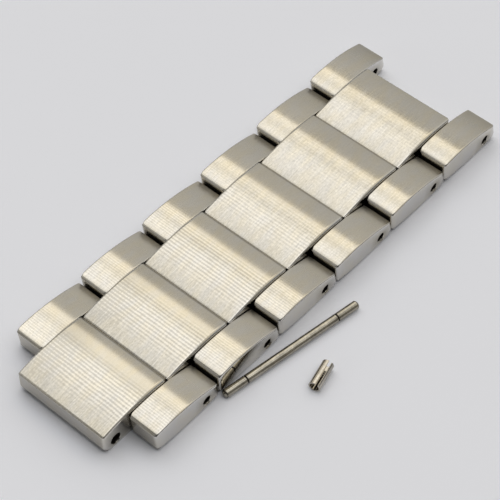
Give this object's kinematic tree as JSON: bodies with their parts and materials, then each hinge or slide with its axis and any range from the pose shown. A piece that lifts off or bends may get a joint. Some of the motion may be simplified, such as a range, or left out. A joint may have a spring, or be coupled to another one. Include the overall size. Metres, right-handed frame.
{
  "type": "watch bracelet",
  "caption": "Length of steel watch bracelet with arched centre links and narrow outer links hinged on pins; a spare hinge pin and a spare slit collar lie beside it.",
  "frame": {"origin": "middle of the free hinge bore in the first centre link, on the bracelet's middle line", "axes": "+X across the bracelet along its hinge pins, towards the loose pin and collar; +Y along the bracelet from the free bore to the open far end; +Z out of the visible arched side, away from the wrist"},
  "size_m": [0.0276, 0.0607, 0.0037],
  "materials": {
    "centre_steel": "fine brushed across the width, arched top",
    "outer_steel": "brushed top, polished side",
    "pin_steel": "drawn, satin",
    "collar_steel": "bright rolled"
  },
  "bodies": {
    "link_1": {"centre_link_1": "centre_steel", "outer_left_1": "outer_steel", "outer_right_1": "outer_steel", "cross_bars_1": "pin_steel"},
    "link_2": {"centre_link_2": "centre_steel", "outer_left_2": "outer_steel", "outer_right_2": "outer_steel", "cross_bars_2": "pin_steel", "hinge_pin_1": "pin_steel", "collar_1": "collar_steel"},
    "link_3": {"centre_link_3": "centre_steel", "outer_left_3": "outer_steel", "outer_right_3": "outer_steel", "cross_bars_3": "pin_steel", "hinge_pin_2": "pin_steel", "collar_2": "collar_steel"},
    "link_4": {"centre_link_4": "centre_steel", "outer_left_4": "outer_steel", "outer_right_4": "outer_steel", "cross_bars_4": "pin_steel", "hinge_pin_3": "pin_steel", "collar_3": "collar_steel"},
    "link_5": {"centre_link_5": "centre_steel", "outer_left_5": "outer_steel", "outer_right_5": "outer_steel", "cross_bars_5": "pin_steel", "hinge_pin_4": "pin_steel", "collar_4": "collar_steel"},
    "link_6": {"centre_link_6": "centre_steel", "outer_left_6": "outer_steel", "outer_right_6": "outer_steel", "cross_bars_6": "pin_steel", "hinge_pin_5": "pin_steel", "collar_5": "collar_steel"},
    "spare_pin": {"loose_pin": "pin_steel"},
    "spare_collar": {"loose_collar": "collar_steel"}
  },
  "joints": [
    {"name": "hinge_1", "type": "hinge", "parent": "link_1", "child": "link_2", "pos_m": [0, 0.0095, 0], "axis": [-1, 0, 0], "range_deg": [-2, 55]},
    {"name": "hinge_2", "type": "hinge", "parent": "link_2", "child": "link_3", "pos_m": [0, 0.019, 0], "axis": [-1, 0, 0], "range_deg": [-2, 55]},
    {"name": "hinge_3", "type": "hinge", "parent": "link_3", "child": "link_4", "pos_m": [0, 0.0285, 0], "axis": [-1, 0, 0], "range_deg": [-2, 55]},
    {"name": "hinge_4", "type": "hinge", "parent": "link_4", "child": "link_5", "pos_m": [0, 0.038, 0], "axis": [-1, 0, 0], "range_deg": [-2, 55]},
    {"name": "hinge_5", "type": "hinge", "parent": "link_5", "child": "link_6", "pos_m": [0, 0.0475, 0], "axis": [-1, 0, 0], "range_deg": [-2, 55]},
    {"name": "spare_pin_lift", "type": "slide", "parent": "link_1", "child": "spare_pin", "axis": [0, 0, 1], "range_m": [0, 0.02]},
    {"name": "spare_collar_lift", "type": "slide", "parent": "link_1", "child": "spare_collar", "axis": [0, 0, 1], "range_m": [0, 0.02]}
  ]
}
